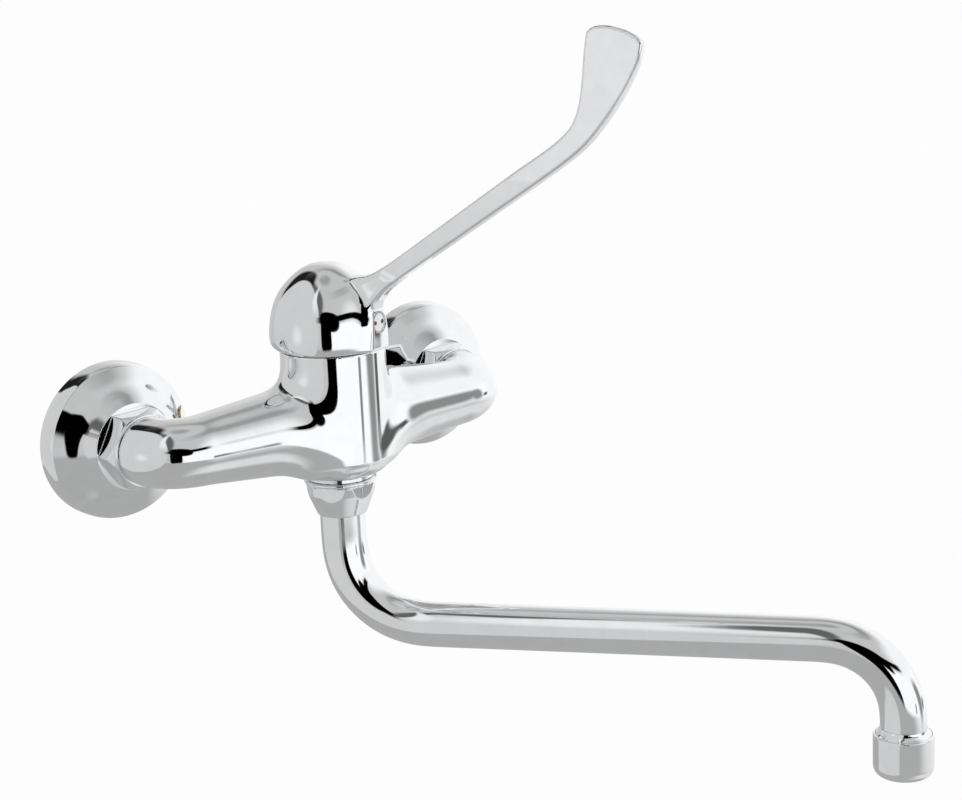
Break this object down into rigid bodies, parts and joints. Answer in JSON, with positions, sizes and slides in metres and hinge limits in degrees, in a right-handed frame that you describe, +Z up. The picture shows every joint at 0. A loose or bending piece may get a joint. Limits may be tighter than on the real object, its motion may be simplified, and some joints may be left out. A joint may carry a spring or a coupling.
{
  "type": "wall-mounted single-lever mixer tap",
  "caption": "Chrome wall-mounted single-lever kitchen tap with a long upturned lever, round wall roses and an S-shaped swivel spout.",
  "frame": {"origin": "on the wall plane, midway between the two inlets", "axes": "+Z up, +Y into the wall, +X to the right when facing the wall; the tap stands out towards -Y"},
  "size_m": [0.2544, 0.2465, 0.293],
  "materials": {
    "chrome": "polished chrome plate",
    "brass": "turned brass",
    "steel": "plain stainless steel",
    "rubber": "black rubber",
    "shell_plastic": "off-white moulded plastic",
    "guide_plastic": "dark moulded plastic",
    "ceramic": "ground ceramic",
    "jet_plastic": "pale moulded plastic",
    "index_white": "glossy white",
    "index_red": "glossy dark red",
    "index_blue": "glossy dark blue"
  },
  "bodies": {
    "tap_body": {"mixer_body": "chrome", "wall_union_left": "brass", "wall_union_right": "brass", "rosette_left": "chrome", "rosette_right": "chrome", "union_nut_left": "chrome", "union_nut_right": "chrome", "inlet_nipple_left": "brass", "inlet_nipple_right": "brass", "inlet_washer_left": "rubber", "inlet_washer_right": "rubber", "inlet_strainer_left": "steel", "inlet_strainer_right": "steel", "cartridge_base": "shell_plastic", "base_seals": "rubber", "disc_seals": "rubber", "fixed_disc": "ceramic", "cartridge_housing": "shell_plastic", "cartridge_nut": "brass", "spout_nut": "chrome", "spout_glide_ring": "guide_plastic"},
    "rotor": {"cartridge_rotor": "guide_plastic", "spindle_pin": "steel"},
    "handle": {"lever_handle": "chrome", "spindle": "brass", "handle_screw": "steel", "index_plug": "chrome", "index_face": "index_white", "index_red": "index_red", "index_blue": "index_blue"},
    "slider": {"disc_carrier": "guide_plastic", "moving_disc": "ceramic"},
    "spout": {"spout_tube": "chrome", "spout_collar": "brass", "spout_o_rings": "rubber", "aerator_holder": "chrome", "aerator_cap": "chrome", "aerator_washer": "rubber", "aerator_insert": "jet_plastic", "aerator_screen": "jet_plastic"}
  },
  "joints": [
    {"name": "temperature_turn", "type": "hinge", "parent": "tap_body", "child": "rotor", "pos_m": [0, -0.0472, 0.032], "axis": [0, 0, 1], "range_deg": [-65, 25]},
    {"name": "flow_lift", "type": "hinge", "parent": "rotor", "child": "handle", "pos_m": [0, -0.0472, 0.032], "axis": [-0.9397, -0.342, 0], "range_deg": [0, 20]},
    {"name": "disc_slide", "type": "slide", "parent": "rotor", "child": "slider", "axis": [0.342, -0.9397, 0], "range_m": [0, 0.0042]},
    {"name": "spout_swivel", "type": "hinge", "parent": "tap_body", "child": "spout", "pos_m": [0, -0.0472, -0.02], "axis": [0, 0, 1], "range_deg": [-128.2, 51.8]}
  ],
  "couplings": [
    {"joint": "disc_slide", "follows": "flow_lift", "m_per_rad": 0.0117}
  ]
}
